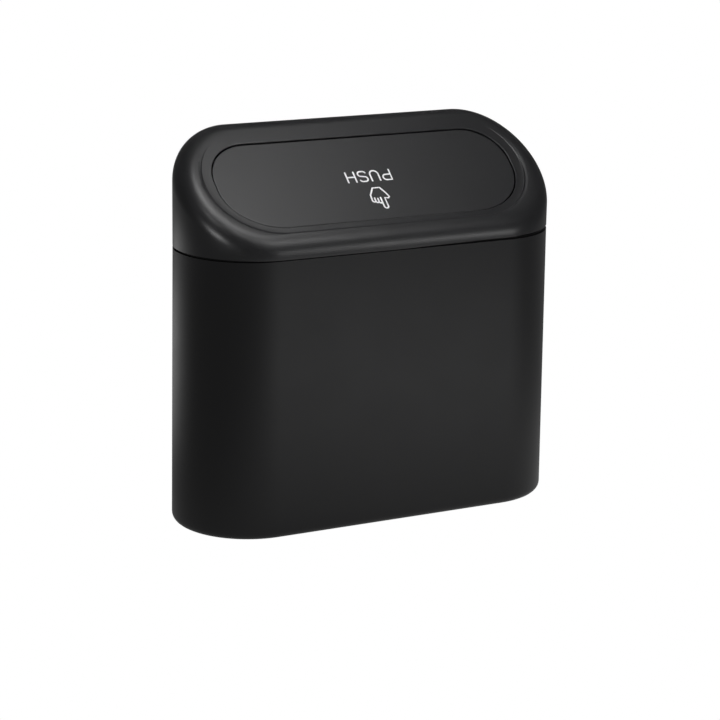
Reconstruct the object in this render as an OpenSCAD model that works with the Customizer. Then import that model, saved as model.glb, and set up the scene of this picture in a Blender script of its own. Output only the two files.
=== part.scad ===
// Hanging car trash bin: a stadium-plan tub, a slanted push lid and a clip on the back.
// X runs along the width, -Y is the low front edge of the lid, +Z is up.
// The origin is the middle of the flat underside.

/* [Body] */
// Width of the tub over its round ends
body_w = 160; // [140:1:180]
// Depth of the tub from front face to rear face
body_d = 58.8; // [54:0.2:66]
// Height of the visible rim of the tub
body_h = 110.5; // [100:0.5:130]
// Wall of the tub
wall = 1.8; // [1.6:0.1:2.4]
// Thickness of the bottom
floor_t = 2; // [1.6:0.1:3]
// Radius of the rounded lower edge
base_edge_r = 3.2; // [2.6:0.1:5]

/* [Seam] */
// Height of the shadow gap between tub and lid
seam_gap = 0.5; // [0.3:0.1:1]
// Depth of the shadow gap into the wall
seam_depth = 0.8; // [0.5:0.1:1]
// Depth that the collar of the lid reaches into the tub
collar_h = 6; // [4:0.5:9]
// Wall of the collar
collar_t = 1.6; // [1.2:0.1:2.2]
// Clearance between the collar and the tub
collar_fit = 0.15; // [0.1:0.05:0.3]
// Height of the flange that ties the collar to the lid wall
flange_h = 1.6; // [1:0.1:2]

/* [Lid] */
// Slope of the top face, falling towards the front
lid_slope = 38.6; // [34:0.2:42]
// Height of the front wall up to its sharp corner with the slope
lid_front_h = 5.7; // [5:0.1:8]
// Radius of the shoulder between the walls and the slope
shoulder_r = 8; // [6:0.5:9]
// Wall of the lid
lid_wall = 2.2; // [1.8:0.1:2.6]

/* [Opening] */
// Half height of the stadium opening, measured on the slope
opening_r = 21.4; // [18:0.2:22]
// Distance from the middle to the centre of an end of the opening
opening_c = 44.8; // [38:0.2:46]
// Distance up the slope from the front corner to the middle of the opening
opening_s = 30.9; // [30:0.1:32]
// End radius of the shallow recess around the opening
recess_r = 26.3; // [24.5:0.1:26.5]
// Distance from the middle to the centre of an end of the recess
recess_c = 42.65; // [40:0.05:43]
// Distance up the slope to the middle of the recess
recess_s = 33.1; // [32.5:0.1:33.6]
// Distance up the slope where the recess runs out
recess_out_s = 54; // [52:0.5:56]
// Tilt of the recess floor against the slope
recess_tilt = 1.1; // [0.6:0.1:1.4]

/* [Flap] */
// Gap around the flap
flap_gap = 0.5; // [0.45:0.05:0.8]
// How far the flap lies below the recess floor
flap_sink = 0.7; // [0.5:0.1:1]
// Thickness of the flap
flap_t = 2; // [1.6:0.1:2.2]
// Radius of the upper edge of the flap
flap_edge_r = 0.8; // [0.4:0.1:1.2]
// Depth of the stiffening ribs
rib_h = 2.2; // [1.5:0.1:3]
// Thickness of the stiffening ribs
rib_t = 1.2; // [0.8:0.1:1.6]
// Half length of the long ribs
rib_half = 48; // [40:1:50]
// Distances of the long ribs from the middle of the flap
rib_offsets = [-11.5, 3.5]; // [-14:0.5:6]
// Half spacing of the cross ribs, inner and outer pair
rib_crosses = [12, 36]; // [10:1:44]
// Half spacing of the outer stop tabs
tab_spacing = 30; // [20:1:40]
// Width of a stop tab
tab_w = 9; // [6:0.5:12]
// How far a stop tab reaches under the frame
tab_reach = 1.9; // [1.2:0.1:2.4]
// Clearance between a stop tab and the underside of the frame
tab_clear = 0.3; // [0.2:0.05:0.5]

/* [Hinge] */
// Diameter of the steel pin
pin_d = 2.5; // [2:0.1:3]
// Radial clearance of the pin in its bores
pin_fit = 0.05; // [0.03:0.01:0.08]
// Distance from the rear edge of the flap to the pin
hinge_in = 3; // [2.8:0.1:4]
// Distance from the underside of the flap down to the pin
hinge_drop = 3.2; // [3:0.1:4]
// Outer radius of a flap knuckle
knuckle_r = 2.7; // [2.4:0.1:2.9]
// Width of a flap knuckle
knuckle_w = 6; // [4:0.5:8]
// Distance from the middle to a knuckle
knuckle_x = 43; // [38:0.5:46]
// Width of a hinge lug on the frame
lug_w = 2.5; // [2:0.1:3]
// Sideways clearance between knuckle and lug
lug_gap = 0.3; // [0.2:0.05:0.5]
// How far a lug reaches back from the pin
lug_reach = 9.5; // [8:0.5:10]
// Diameter of the head of the pin
head_d = 4.2; // [3.6:0.1:5]
// Thickness of the head of the pin
head_t = 1; // [0.8:0.1:1.5]

/* [Spring] */
// Diameter of the spring wire
wire_d = 0.8; // [0.6:0.05:0.9]
// Mean radius of the coil
coil_r = 2; // [1.9:0.05:2.1]
// Number of turns
coil_turns = 6; // [4:1:8]
// Pitch of the coil
coil_pitch = 1; // [0.95:0.05:1.2]
// Length of the leg under the flap
front_leg = 10; // [8:0.5:11]
// Length of the leg under the frame
rear_leg = 7; // [6:0.5:8]
// Clearance between a leg and the face above it
leg_clear = 0.05; // [0.05:0.05:0.2]

/* [Clip] */
// Width of the sliding plate of the clip
plate_w = 40; // [34:1:50]
// Thickness of the clip
clip_t = 2.4; // [2:0.1:3]
// Height of the foot of the clip above the ground
clip_z = 56; // [40:1:62]
// Height of the sliding plate
plate_h = 44; // [40:1:46]
// Width of the hanging tongue
tongue_w = 26; // [20:1:30]
// Length of the tongue below the bridge
tongue_h = 38; // [30:1:40]
// Free gap between the plate and the tongue
clip_gap = 6.2; // [5:0.1:9]
// Radius of the lower corners of plate and tongue
clip_corner_r = 4; // [2:0.5:6]
// Clearance of the plate in its rails
rail_fit = 0.3; // [0.2:0.05:0.4]
// Wall of a rail
rail_t = 1.8; // [1.4:0.1:2.4]
// Height of the rails
rail_h = 38; // [30:1:40]
// How far the lip of a rail covers the plate
rail_cover = 2.2; // [1.5:0.1:3]
// Thickness of the stop below the plate
stop_h = 2.2; // [1.6:0.1:3]

/* [Hidden] */
// Segments of true circles
$fn = 96;
// Steps round one end of the lid, over its shoulder, round the wire and along one turn
end_steps = 24;
shoulder_steps = 6;
wire_sides = 8;
turn_steps = 16;
// Overlap that fuses two shapes of one moulding
fuse = 0.4;
// Colours of the mouldings and the steel parts
black_plastic = "#1d1d1f";
flap_plastic = "#26262a";
steel = "#b9bcc0";

body_r = body_d / 2;
end_c = body_w / 2 - body_r;
lid_z = body_h + seam_gap;
corner_z = lid_z + lid_front_h;
spine_r = body_r - shoulder_r;
cavity_r = shoulder_r - lid_wall;
flap_r = opening_r - flap_gap;
hinge_s = opening_s + flap_r - hinge_in;
hinge_n = -flap_sink - flap_t - hinge_drop;
// Height of the underside of the frame above the pin, at the rear of the opening
frame_under = -lid_wall - hinge_n;
knuckle_side = knuckle_w / 2 + lug_gap + lug_w / 2;
coil_end_x = knuckle_x - knuckle_side - lug_w / 2 - wire_d / 2 - 0.1;
plate_y = body_r + rail_fit;
tongue_y = plate_y + clip_t + clip_gap;
bridge_z = clip_z + plate_h;

// Outline of a stadium with its ends centred at +-c
module stadium(c, r) {
    square([2 * c, 2 * r], center = true);
    translate([c, 0]) circle(r);
    translate([-c, 0]) circle(r);
}

// Right half of the cross-section of a pan whose lower edge has the radius e
module pan_side(r, h, e) {
    square([r - e, h]);
    translate([0, e]) square([r, h - e]);
    translate([r - e, e]) circle(e);
}

// Solid stadium of height h, rounded round its lower edge
module pan(c, r, h, e) {
    rotate([90, 0, 90]) linear_extrude(2 * c, center = true) {
        pan_side(r, h, e);
        mirror([1, 0]) pan_side(r, h, e);
    }
    for (side = [0, 180])
        rotate([0, 0, side]) translate([c, 0, 0]) rotate([0, 0, -90])
            rotate_extrude(angle = 180) pan_side(r, h, e);
}

// Places children on the slope: x along the width, y up the slope, z out of it
module on_slope() {
    translate([0, -body_r, corner_z]) rotate([lid_slope, 0, 0]) children();
}

// Places children on the floor of the recess, which dips a little towards the front
module on_recess() {
    on_slope() translate([0, recess_out_s, 0]) rotate([recess_tilt, 0, 0])
        translate([0, -recess_out_s, 0]) children();
}

// Places children on the pin: x along the pin, y up the slope, z out of it
module on_hinge() {
    on_recess() translate([0, hinge_s, hinge_n]) children();
}

// Extrudes an outline drawn as (up the slope, out of the slope) along the pin
module along_pin(width) {
    rotate([90, 0, 90]) linear_extrude(width, center = true) children();
}

// Directions of the wall normals round the lid, as [centre of the end, angle]
function lid_stations() = [
    for (side = [0, 1]) for (i = [0 : end_steps])
        [side == 0 ? end_c : -end_c, -90 + 180 * (side + i / end_steps)]
];

// Height of the middle of the rolling shoulder at depth y
function spine_z(y) = corner_z + (y + body_r) * tan(lid_slope) - shoulder_r / cos(lid_slope);

// Point at share t of the shoulder, from the wall (0) to the slope (1), at radius r
function shoulder_point(station, t, r) =
    let (
        out = [cos(station[1]), sin(station[1]), 0],
        slope_n = [0, -sin(lid_slope), cos(lid_slope)],
        turn = acos(out * slope_n),
        dir = (sin((1 - t) * turn) * out + sin(t * turn) * slope_n) / sin(turn),
        x = station[0] + spine_r * out[0],
        y = spine_r * out[1]
    )
    [x, y, spine_z(y)] + r * dir;

// Solid wedge of the lid, its walls and slope at distance r from the middle of the shoulder
module lid_wedge(r, bottom_z) {
    stations = lid_stations();
    count = len(stations);
    foot = [for (s = stations) let (p = shoulder_point(s, 0, r)) [p[0], p[1], bottom_z]];
    shoulder = [for (k = [0 : shoulder_steps]) for (s = stations)
        shoulder_point(s, k / shoulder_steps, r)];
    rings = shoulder_steps + 1;
    polyhedron(
        points = concat(foot, shoulder),
        faces = concat(
            [[for (i = [0 : count - 1]) i]],
            [for (k = [0 : rings - 1]) for (i = [0 : count - 1])
                let (a = k * count, b = a + count, j = (i + 1) % count)
                [a + i, b + i, b + j, a + j]],
            [[for (i = [count - 1 : -1 : 0]) rings * count + i]]
        ),
        convexity = 4
    );
}

// Tub with its stepped rim, and the rails and stop for the clip on its back
module body() {
    color(black_plastic) {
        difference() {
            pan(end_c, body_r, lid_z, base_edge_r);
            translate([0, 0, floor_t])
                pan(end_c, body_r - wall, lid_z, base_edge_r - wall);
            translate([0, 0, body_h]) linear_extrude(seam_gap * 2) difference() {
                stadium(end_c, body_r + 1);
                stadium(end_c, body_r - seam_depth);
            }
        }
        rail();
        mirror([1, 0, 0]) rail();
        clip_stop();
    }
}

// L-shaped rail beside the plate of the clip, on the +X side
module rail() {
    inner_x = plate_w / 2 + rail_fit;
    lip_y = plate_y + clip_t + rail_fit;
    translate([0, 0, clip_z]) linear_extrude(rail_h) {
        translate([inner_x, body_r - fuse]) square([rail_t, lip_y + rail_t - body_r + fuse]);
        translate([inner_x - rail_cover, lip_y]) square([rail_cover + rail_t, rail_t]);
    }
}

// Ledge that the plate of the clip stands on
module clip_stop() {
    width = plate_w + 2 * (rail_fit + rail_t);
    translate([-width / 2, body_r - fuse, clip_z - stop_h - rail_fit])
        cube([width, plate_y + clip_t + fuse - body_r, stop_h]);
}

// Lid moulding: wedge shell, recess, opening, collar and hinge lugs
module lid_frame() {
    color(black_plastic) {
        difference() {
            lid_wedge(shoulder_r, lid_z);
            lid_wedge(cavity_r, lid_z - 1);
            on_recess() {
                translate([0, recess_s, 0]) linear_extrude(shoulder_r) stadium(recess_c, recess_r);
                translate([0, opening_s, -shoulder_r]) linear_extrude(2 * shoulder_r)
                    stadium(opening_c, opening_r);
            }
        }
        collar();
        for (side = [-1, 1]) for (cheek = [-1, 1])
            translate([side * knuckle_x + cheek * knuckle_side, 0, 0]) hinge_lug();
    }
}

// Collar that plugs into the tub, with the flange that stands on the rim
module collar() {
    outer_r = body_r - wall - collar_fit;
    inner_r = outer_r - collar_t;
    translate([0, 0, lid_z - collar_h]) linear_extrude(collar_h + flange_h) difference() {
        stadium(end_c, outer_r);
        stadium(end_c, inner_r);
    }
    translate([0, 0, lid_z]) linear_extrude(flange_h) difference() {
        stadium(end_c, body_r - seam_depth);
        stadium(end_c, inner_r);
    }
}

// Lug that carries the pin below the rear edge of the opening
module hinge_lug() {
    lug_r = hinge_drop - 0.2;
    clear_b = hinge_in + flap_gap + 0.6;
    on_hinge() difference() {
        along_pin(lug_w) {
            circle(lug_r);
            polygon([[0, -lug_r], [hinge_in, -lug_r], [lug_reach, 0], [lug_reach, frame_under + 0.8],
                [clear_b, frame_under + 0.8], [clear_b, lug_r - 0.6], [0, lug_r - 0.1]]);
        }
        rotate([0, 90, 0]) cylinder(h = 2 * lug_w, d = pin_d + 2 * pin_fit, center = true);
    }
}

// Push panel with its knuckles, stiffening ribs and stop tabs
module flap() {
    color(flap_plastic) {
        on_recess() translate([0, opening_s, -flap_sink]) {
            mirror([0, 0, 1]) pan(opening_c, flap_r, flap_t, flap_edge_r);
            translate([0, 0, -flap_t]) {
                flap_ribs();
                stop_tabs();
            }
        }
        for (side = [-1, 1]) translate([side * knuckle_x, 0, 0]) knuckle();
    }
}

// Two long ribs and four cross ribs on the underside of the flap
module flap_ribs() {
    for (offset_s = rib_offsets)
        translate([-rib_half, offset_s - rib_t / 2, -rib_h]) cube([2 * rib_half, rib_t, rib_h + fuse]);
    span = rib_offsets[1] - rib_offsets[0];
    for (side = [-1, 1]) for (x = rib_crosses)
        translate([side * x - rib_t / 2, rib_offsets[0], -rib_h]) cube([rib_t, span, rib_h + fuse]);
}

// Tabs on the front edge that catch under the frame when the flap is shut
module stop_tabs() {
    under_n = (recess_out_s - opening_s + opening_r) * tan(recess_tilt) - lid_wall;
    tab_t = flap_sink + flap_t + under_n - tab_clear;
    for (x = [-tab_spacing, 0, tab_spacing])
        translate([x - tab_w / 2, -opening_r - tab_reach, 0])
            cube([tab_w, tab_reach + flap_gap + 2, tab_t]);
}

// Eye of the flap that turns on the pin
module knuckle() {
    on_hinge() difference() {
        along_pin(knuckle_w) {
            circle(knuckle_r);
            translate([-knuckle_r, 0]) square([2 * knuckle_r, hinge_drop + fuse]);
        }
        rotate([0, 90, 0]) cylinder(h = 2 * knuckle_w, d = pin_d + 2 * pin_fit, center = true);
    }
}

// Steel pin with a small head at one end
module hinge_pin() {
    outer_face = knuckle_x + knuckle_side + lug_w / 2;
    tail = 0.7;
    head_gap = 0.2;
    color(steel) on_hinge() rotate([0, 90, 0]) {
        translate([0, 0, -outer_face - tail]) cylinder(h = 2 * outer_face + tail + head_gap + fuse, d = pin_d);
        translate([0, 0, outer_face + head_gap]) cylinder(h = head_t, d = head_d);
    }
}

// Middle line of the spring: leg under the flap, coil round the pin, leg under the frame
function spring_path() =
    let (
        x0 = coil_end_x - coil_turns * coil_pitch,
        front_z = hinge_drop - wire_d / 2 - leg_clear,
        rear_z = frame_under - wire_d / 2 - leg_clear,
        steps = coil_turns * turn_steps
    )
    concat(
        [[x0, -front_leg, front_z], [x0, -front_leg / 2, (front_z + coil_r) / 2]],
        [for (i = [0 : steps])
            let (turn = 360 * i / turn_steps)
            [x0 + coil_pitch * i / turn_steps, coil_r * sin(turn), coil_r * cos(turn)]],
        [[coil_end_x, rear_leg / 2, (rear_z + coil_r) / 2], [coil_end_x, rear_leg, rear_z]]
    );

function unit(v) = v / norm(v);

// Round wire swept along a path, with its rings square to the path
module wire(path, radius) {
    last = len(path) - 1;
    tangents = [for (i = [0 : last]) unit(path[min(i + 1, last)] - path[max(i - 1, 0)])];
    points = [for (i = [0 : last])
        let (
            side = unit([1, 0, 0] - tangents[i] * tangents[i][0]),
            up = cross(tangents[i], side)
        )
        for (k = [0 : wire_sides - 1])
            let (a = 360 * k / wire_sides)
            path[i] + radius * (cos(a) * side + sin(a) * up)];
    polyhedron(
        points = points,
        faces = concat(
            [[for (k = [0 : wire_sides - 1]) k]],
            [for (i = [0 : last - 1]) for (k = [0 : wire_sides - 1])
                let (a = i * wire_sides, b = a + wire_sides, j = (k + 1) % wire_sides)
                [a + k, b + k, b + j, a + j]],
            [[for (k = [wire_sides - 1 : -1 : 0]) last * wire_sides + k]]
        ),
        convexity = 8
    );
}

// Torsion spring that shuts the flap
module torsion_spring() {
    color(steel) on_hinge() wire(spring_path(), wire_d / 2);
}

// Front view of a strip whose lower corners are round
module rounded_strip(width, height) {
    square_h = height - clip_corner_r;
    translate([-width / 2, clip_corner_r]) square([width, square_h]);
    translate([-width / 2 + clip_corner_r, 0]) square([width - 2 * clip_corner_r, height]);
    for (side = [-1, 1])
        translate([side * (width / 2 - clip_corner_r), clip_corner_r]) circle(clip_corner_r);
}

// Clip that hangs the bin on a pocket edge: sliding plate, bridge and tongue
module hook_clip() {
    bend_r = clip_gap / 2 + clip_t;
    middle_y = plate_y + clip_t + clip_gap / 2;
    color(black_plastic) {
        translate([0, plate_y + clip_t, clip_z]) rotate([90, 0, 0])
            linear_extrude(clip_t) rounded_strip(plate_w, plate_h);
        translate([0, tongue_y + clip_t, bridge_z - tongue_h]) rotate([90, 0, 0])
            linear_extrude(clip_t) rounded_strip(tongue_w, tongue_h);
        translate([0, middle_y, bridge_z]) rotate([90, 0, 90])
            linear_extrude(tongue_w, center = true) difference() {
                circle(bend_r);
                circle(clip_gap / 2);
                translate([-2 * bend_r, -2 * bend_r]) square([4 * bend_r, 2 * bend_r]);
            }
    }
}

body();
lid_frame();
flap();
hinge_pin();
torsion_spring();
hook_clip();
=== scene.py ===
"""A slim car trash bin with a sloping push lid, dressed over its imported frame."""
import logging
import math
from dataclasses import dataclass, field
from enum import Enum
from typing import Callable, Sequence

import bmesh
import bpy
from mathutils import Matrix, Vector


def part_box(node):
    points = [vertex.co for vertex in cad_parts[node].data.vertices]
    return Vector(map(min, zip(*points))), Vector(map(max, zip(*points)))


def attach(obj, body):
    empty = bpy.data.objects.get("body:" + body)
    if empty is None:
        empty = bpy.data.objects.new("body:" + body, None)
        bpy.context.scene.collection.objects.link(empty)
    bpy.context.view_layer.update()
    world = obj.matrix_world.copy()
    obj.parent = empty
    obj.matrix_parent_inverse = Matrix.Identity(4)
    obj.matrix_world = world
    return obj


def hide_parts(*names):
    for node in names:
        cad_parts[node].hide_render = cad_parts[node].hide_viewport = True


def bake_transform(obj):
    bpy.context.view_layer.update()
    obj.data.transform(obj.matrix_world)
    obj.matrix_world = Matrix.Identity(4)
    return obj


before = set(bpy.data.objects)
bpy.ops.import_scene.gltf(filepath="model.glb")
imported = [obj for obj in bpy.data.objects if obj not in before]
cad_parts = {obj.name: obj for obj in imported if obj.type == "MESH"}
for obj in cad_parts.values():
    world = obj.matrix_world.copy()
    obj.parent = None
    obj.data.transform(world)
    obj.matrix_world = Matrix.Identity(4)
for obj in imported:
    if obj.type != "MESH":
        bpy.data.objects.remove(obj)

LOG = logging.getLogger("trash_bin")
MM = 0.001
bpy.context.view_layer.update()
QUARTER = math.pi / 2
MID_ROUND = 0.3  # where the middle point of a round lies, as a share of its radius
WELD = 1e-7  # points closer than this become one
NEAR = 1e-6  # lengths closer than this count as equal


class Side(Enum):
    """Left or right half of the bin, by the sign of its X."""

    LEFT = -1
    RIGHT = 1


# Geometry shared by the pieces

@dataclass(frozen=True)
class Station:
    """Place round a stadium outline: run picks the centre between the ends, angle the direction."""

    run: float
    angle: float

    @property
    def outward(self) -> Vector:
        """Unit vector that points out of the outline here."""
        return Vector((math.cos(self.angle), math.sin(self.angle), 0.0))


def walk_round(end_steps: int = 64, side_steps: int = 28) -> list[Station]:
    """Lists the stations once round a stadium, from the front of its right end.

    Args:
        end_steps: Steps round each half-round end.
        side_steps: Steps along each straight side.

    Returns:
        The stations in order, counter-clockwise from above.
    """
    found: list[Station] = []
    for start, run in ((-QUARTER, 1.0), (QUARTER, -1.0)):
        found += [Station(run, start + math.pi * i / end_steps) for i in range(end_steps + 1)]
        found += [
            Station(run - 2 * run * i / side_steps, start + math.pi) for i in range(1, side_steps)
        ]
    return found


@dataclass(frozen=True)
class Stadium:
    """Flat outline with two half-round ends, their centres at plus and minus reach."""

    reach: float
    radius: float

    def point(self, station: Station, height: float = 0.0, grow: float = 0.0) -> Vector:
        """Point of the outline at a station, at a height, grown outwards."""
        out = station.outward * (self.radius + grow)
        return Vector((station.run * self.reach + out.x, out.y, height))


@dataclass(frozen=True)
class PanelOutline:
    """Outline of the flap's opening: tighter corners at the back than at the front."""

    half_width: float = 65.6 * MM
    half_rise: float = 21.1 * MM
    back_corner: float = 17.6 * MM
    front_corner: float = 24.0 * MM

    def point(self, station: Station, height: float = 0.0, grow: float = 0.0) -> Vector:
        """Point of the outline at a station.

        Args:
            station: Place round the outline.
            height: Height of the point.
            grow: Distance by which the outline is grown outwards.

        Returns:
            The point.
        """
        out = station.outward
        corner, y = self.front_corner, out.y * (self.half_rise + grow)
        if out.y > 0:
            corner = self.back_corner
            y = self.half_rise - corner + out.y * (corner + grow)
        x = station.run * (self.half_width - corner) + out.x * (corner + grow)
        return Vector((x, y, height))


def new_verts(made: dict[str, list]) -> list[bmesh.types.BMVert]:
    """Points among the things that an operator made."""
    return [v for v in made["geom"] if isinstance(v, bmesh.types.BMVert)]


def half_round(radius: float, start: float, steps: int) -> list[tuple[float, float]]:
    """Points on half a turn about the origin, counter-clockwise.

    Args:
        radius: Distance from the origin.
        start: Angle of the first point.
        steps: Steps from the first point to the last.

    Returns:
        The points in order.
    """
    angles = [start + math.pi * i / steps for i in range(steps + 1)]
    return [(radius * math.cos(a), radius * math.sin(a)) for a in angles]


class Loft:
    """Band of faces that grows ring by ring from one circle of edges."""

    def __init__(self, mesh: bmesh.types.BMesh, places: Sequence[Vector]) -> None:
        """Starts the band with one ring.

        Args:
            mesh: Mesh that receives the band.
            places: Places of the ring's points, in order.
        """
        self.mesh = mesh
        made = bmesh.ops.create_circle(mesh, cap_ends=False, segments=len(places), radius=1.0)
        self.ring: list[bmesh.types.BMVert] = made["verts"]
        self.first = self.ring
        self._settle(places)

    def _settle(self, places: Sequence[Vector]) -> None:
        """Moves the newest ring to its places."""
        for vert, place in zip(self.ring, places):
            vert.co = place

    def _edges(self) -> list[bmesh.types.BMEdge]:
        """Edges of the newest ring, in order.

        Returns:
            The edges, the first one between the first two points.
        """
        shifted = self.ring[1:] + self.ring[:1]
        return [
            next(e for e in a.link_edges if e.other_vert(a) is b)
            for a, b in zip(self.ring, shifted)
        ]

    def grow(self, places: Sequence[Vector]) -> None:
        """Extrudes the newest ring and moves the copy.

        Args:
            places: Places of the new points, in the order of the old ones.
        """
        made = bmesh.ops.extrude_edge_only(self.mesh, edges=self._edges())
        fresh = set(new_verts(made))
        self.ring = [
            next(e.other_vert(v) for e in v.link_edges if e.other_vert(v) in fresh)
            for v in self.ring
        ]
        self._settle(places)

    def cap(self) -> None:
        """Closes the newest ring with one face."""
        bmesh.ops.contextual_create(self.mesh, geom=self._edges())

    def close(self) -> None:
        """Joins the newest ring back to the first one."""
        self.grow([v.co.copy() for v in self.first])
        bmesh.ops.remove_doubles(self.mesh, verts=self.ring + self.first, dist=WELD)


def loft_solid(mesh: bmesh.types.BMesh, rings: Sequence[Sequence[Vector]]) -> None:
    """Adds a solid that runs through the rings, closed at both ends.

    Args:
        mesh: Mesh that receives the solid.
        rings: Places of the rings, each with as many points.
    """
    loft = Loft(mesh, rings[0])
    loft.cap()
    for ring in rings[1:]:
        loft.grow(ring)
    loft.cap()


def round_edges(
    mesh: bmesh.types.BMesh, edges: list[bmesh.types.BMEdge], radius: float, segments: int = 2
) -> None:
    """Rounds edges of a mesh.

    Args:
        mesh: Mesh that has the edges.
        edges: Edges to round.
        radius: Radius of the round.
        segments: Steps across the round.
    """
    bmesh.ops.bevel(
        mesh, geom=edges, offset=radius, segments=segments, profile=0.5, affect="EDGES", material=-1
    )


def box_piece(
    mesh: bmesh.types.BMesh, low: Vector, high: Vector, place: Matrix, edge: float
) -> None:
    """Adds a box with rounded edges.

    Args:
        mesh: Mesh that receives the box.
        low: Its lowest corner before it is placed.
        high: Its highest corner before it is placed.
        place: Where the box goes.
        edge: Radius of its edges.
    """
    size = high - low
    matrix = place @ Matrix.Translation((low + high) / 2) @ Matrix.Diagonal((*size, 1.0))
    made = bmesh.ops.create_cube(mesh, size=1.0, matrix=matrix)
    edges = list({e for v in made["verts"] for e in v.link_edges})
    round_edges(mesh, edges, edge)


def prism_piece(
    mesh: bmesh.types.BMesh, outline: Sequence[Vector], depth: Vector, place: Matrix, edge: float
) -> None:
    """Adds a straight extrusion of a flat outline with rounded end edges.

    Args:
        mesh: Mesh that receives the prism.
        outline: Corners of the outline in order.
        depth: Way and distance of the extrusion.
        place: Where the prism goes.
        edge: Radius of the edges round its two ends.
    """
    verts = [bmesh.ops.create_vert(mesh, co=place @ p)["vert"][0] for p in outline]
    face = bmesh.ops.contextual_create(mesh, geom=verts)["faces"][0]
    made = bmesh.ops.extrude_face_region(mesh, geom=[face], use_keep_orig=True)
    bmesh.ops.translate(mesh, verts=new_verts(made), vec=place.to_3x3() @ depth)
    ends = [face] + [f for f in made["geom"] if isinstance(f, bmesh.types.BMFace)]
    edges = list({e for f in ends for e in f.edges})
    round_edges(mesh, edges, edge)


def add_object(name: str, data: bpy.types.ID) -> bpy.types.Object:
    """Adds an object to the scene.

    Args:
        name: Name of the object.
        data: Its mesh, curve, lamp or camera.

    Returns:
        The object.
    """
    made = bpy.data.objects.new(name, data)
    bpy.context.scene.collection.objects.link(made)
    return made


# Finishes

@dataclass(frozen=True)
class NodeKit:
    """Short hand for building one node material."""

    tree: bpy.types.NodeTree

    def node(self, kind: str, **inputs: object) -> bpy.types.Node:
        """Adds a node and sets its sockets by name, with spaces for underscores.

        Args:
            kind: Blender's identifier of the node.
            inputs: Socket values by name.

        Returns:
            The new node.
        """
        made = self.tree.nodes.new(kind)
        for name, value in inputs.items():
            made.inputs[name.replace("_", " ")].default_value = value
        return made

    def link(self, source: bpy.types.NodeSocket, target: bpy.types.NodeSocket) -> None:
        """Joins two sockets."""
        self.tree.links.new(source, target)


def new_material(name: str) -> tuple[bpy.types.Material, NodeKit, bpy.types.Node]:
    """Makes an empty node material with one shader.

    Args:
        name: Name of the material.

    Returns:
        The material, its node kit and its Principled shader.
    """
    made = bpy.data.materials.new(name)
    made.use_nodes = True
    kit = NodeKit(made.node_tree)
    shader = next(n for n in made.node_tree.nodes if n.type == "BSDF_PRINCIPLED")
    return made, kit, shader


@dataclass(frozen=True)
class MouldedPlastic:
    """Injection-moulded black plastic with a fine spark-eroded grain."""

    name: str
    colour: tuple[float, float, float]
    roughness: float
    grain_per_m: float = 2600.0
    grain_depth: float = 0.000012
    grain_detail: float = 3.0
    cloud_per_m: float = 45.0
    cloud_detail: float = 4.0
    noise_fade: float = 0.6
    roughness_spread: float = 0.05
    refraction: float = 1.5

    def material(self) -> bpy.types.Material:
        """Makes the plastic: grain as bump, soft clouds in its gloss.

        Returns:
            The material.
        """
        made, kit, shader = new_material(self.name)
        shader.inputs["Base Color"].default_value = (*self.colour, 1.0)
        shader.inputs["IOR"].default_value = self.refraction
        place = kit.node("ShaderNodeTexCoord").outputs["Object"]
        grain = kit.node(
            "ShaderNodeTexNoise",
            Scale=self.grain_per_m, Detail=self.grain_detail, Roughness=self.noise_fade,
        )
        bump = kit.node("ShaderNodeBump", Strength=1.0, Distance=self.grain_depth)
        cloud = kit.node(
            "ShaderNodeTexNoise",
            Scale=self.cloud_per_m, Detail=self.cloud_detail, Roughness=self.noise_fade,
        )
        spread = kit.node("ShaderNodeMapRange")
        spread.inputs["To Min"].default_value = self.roughness - self.roughness_spread
        spread.inputs["To Max"].default_value = self.roughness + self.roughness_spread
        kit.link(place, grain.inputs["Vector"])
        kit.link(place, cloud.inputs["Vector"])
        kit.link(grain.outputs["Fac"], bump.inputs["Height"])
        kit.link(bump.outputs["Normal"], shader.inputs["Normal"])
        kit.link(cloud.outputs["Fac"], spread.inputs["Value"])
        kit.link(spread.outputs["Result"], shader.inputs["Roughness"])
        return made


@dataclass(frozen=True)
class DrawnSteel:
    """Bright drawn steel wire and rod with fine marks along its length."""

    name: str
    colour: tuple[float, float, float] = (0.62, 0.63, 0.65)
    roughness: float = 0.28
    smoother: float = 0.08
    rougher: float = 0.12
    marks_per_m: float = 900.0
    marks_detail: float = 3.0
    marks_strength: float = 0.4
    marks_depth: float = 0.00001
    stretch: tuple[float, float, float] = (0.05, 1.0, 1.0)

    def material(self) -> bpy.types.Material:
        """Makes the steel: streaks in its gloss and a shallow bump.

        Returns:
            The material.
        """
        made, kit, shader = new_material(self.name)
        shader.inputs["Base Color"].default_value = (*self.colour, 1.0)
        shader.inputs["Metallic"].default_value = 1.0
        place = kit.node("ShaderNodeTexCoord").outputs["Object"]
        stretch = kit.node("ShaderNodeMapping", Scale=self.stretch)
        marks = kit.node("ShaderNodeTexNoise", Scale=self.marks_per_m, Detail=self.marks_detail)
        spread = kit.node("ShaderNodeMapRange")
        spread.inputs["To Min"].default_value = self.roughness - self.smoother
        spread.inputs["To Max"].default_value = self.roughness + self.rougher
        bump = kit.node("ShaderNodeBump", Strength=self.marks_strength, Distance=self.marks_depth)
        kit.link(place, stretch.inputs["Vector"])
        kit.link(stretch.outputs["Vector"], marks.inputs["Vector"])
        kit.link(marks.outputs["Fac"], spread.inputs["Value"])
        kit.link(spread.outputs["Result"], shader.inputs["Roughness"])
        kit.link(marks.outputs["Fac"], bump.inputs["Height"])
        kit.link(bump.outputs["Normal"], shader.inputs["Normal"])
        return made


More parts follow.
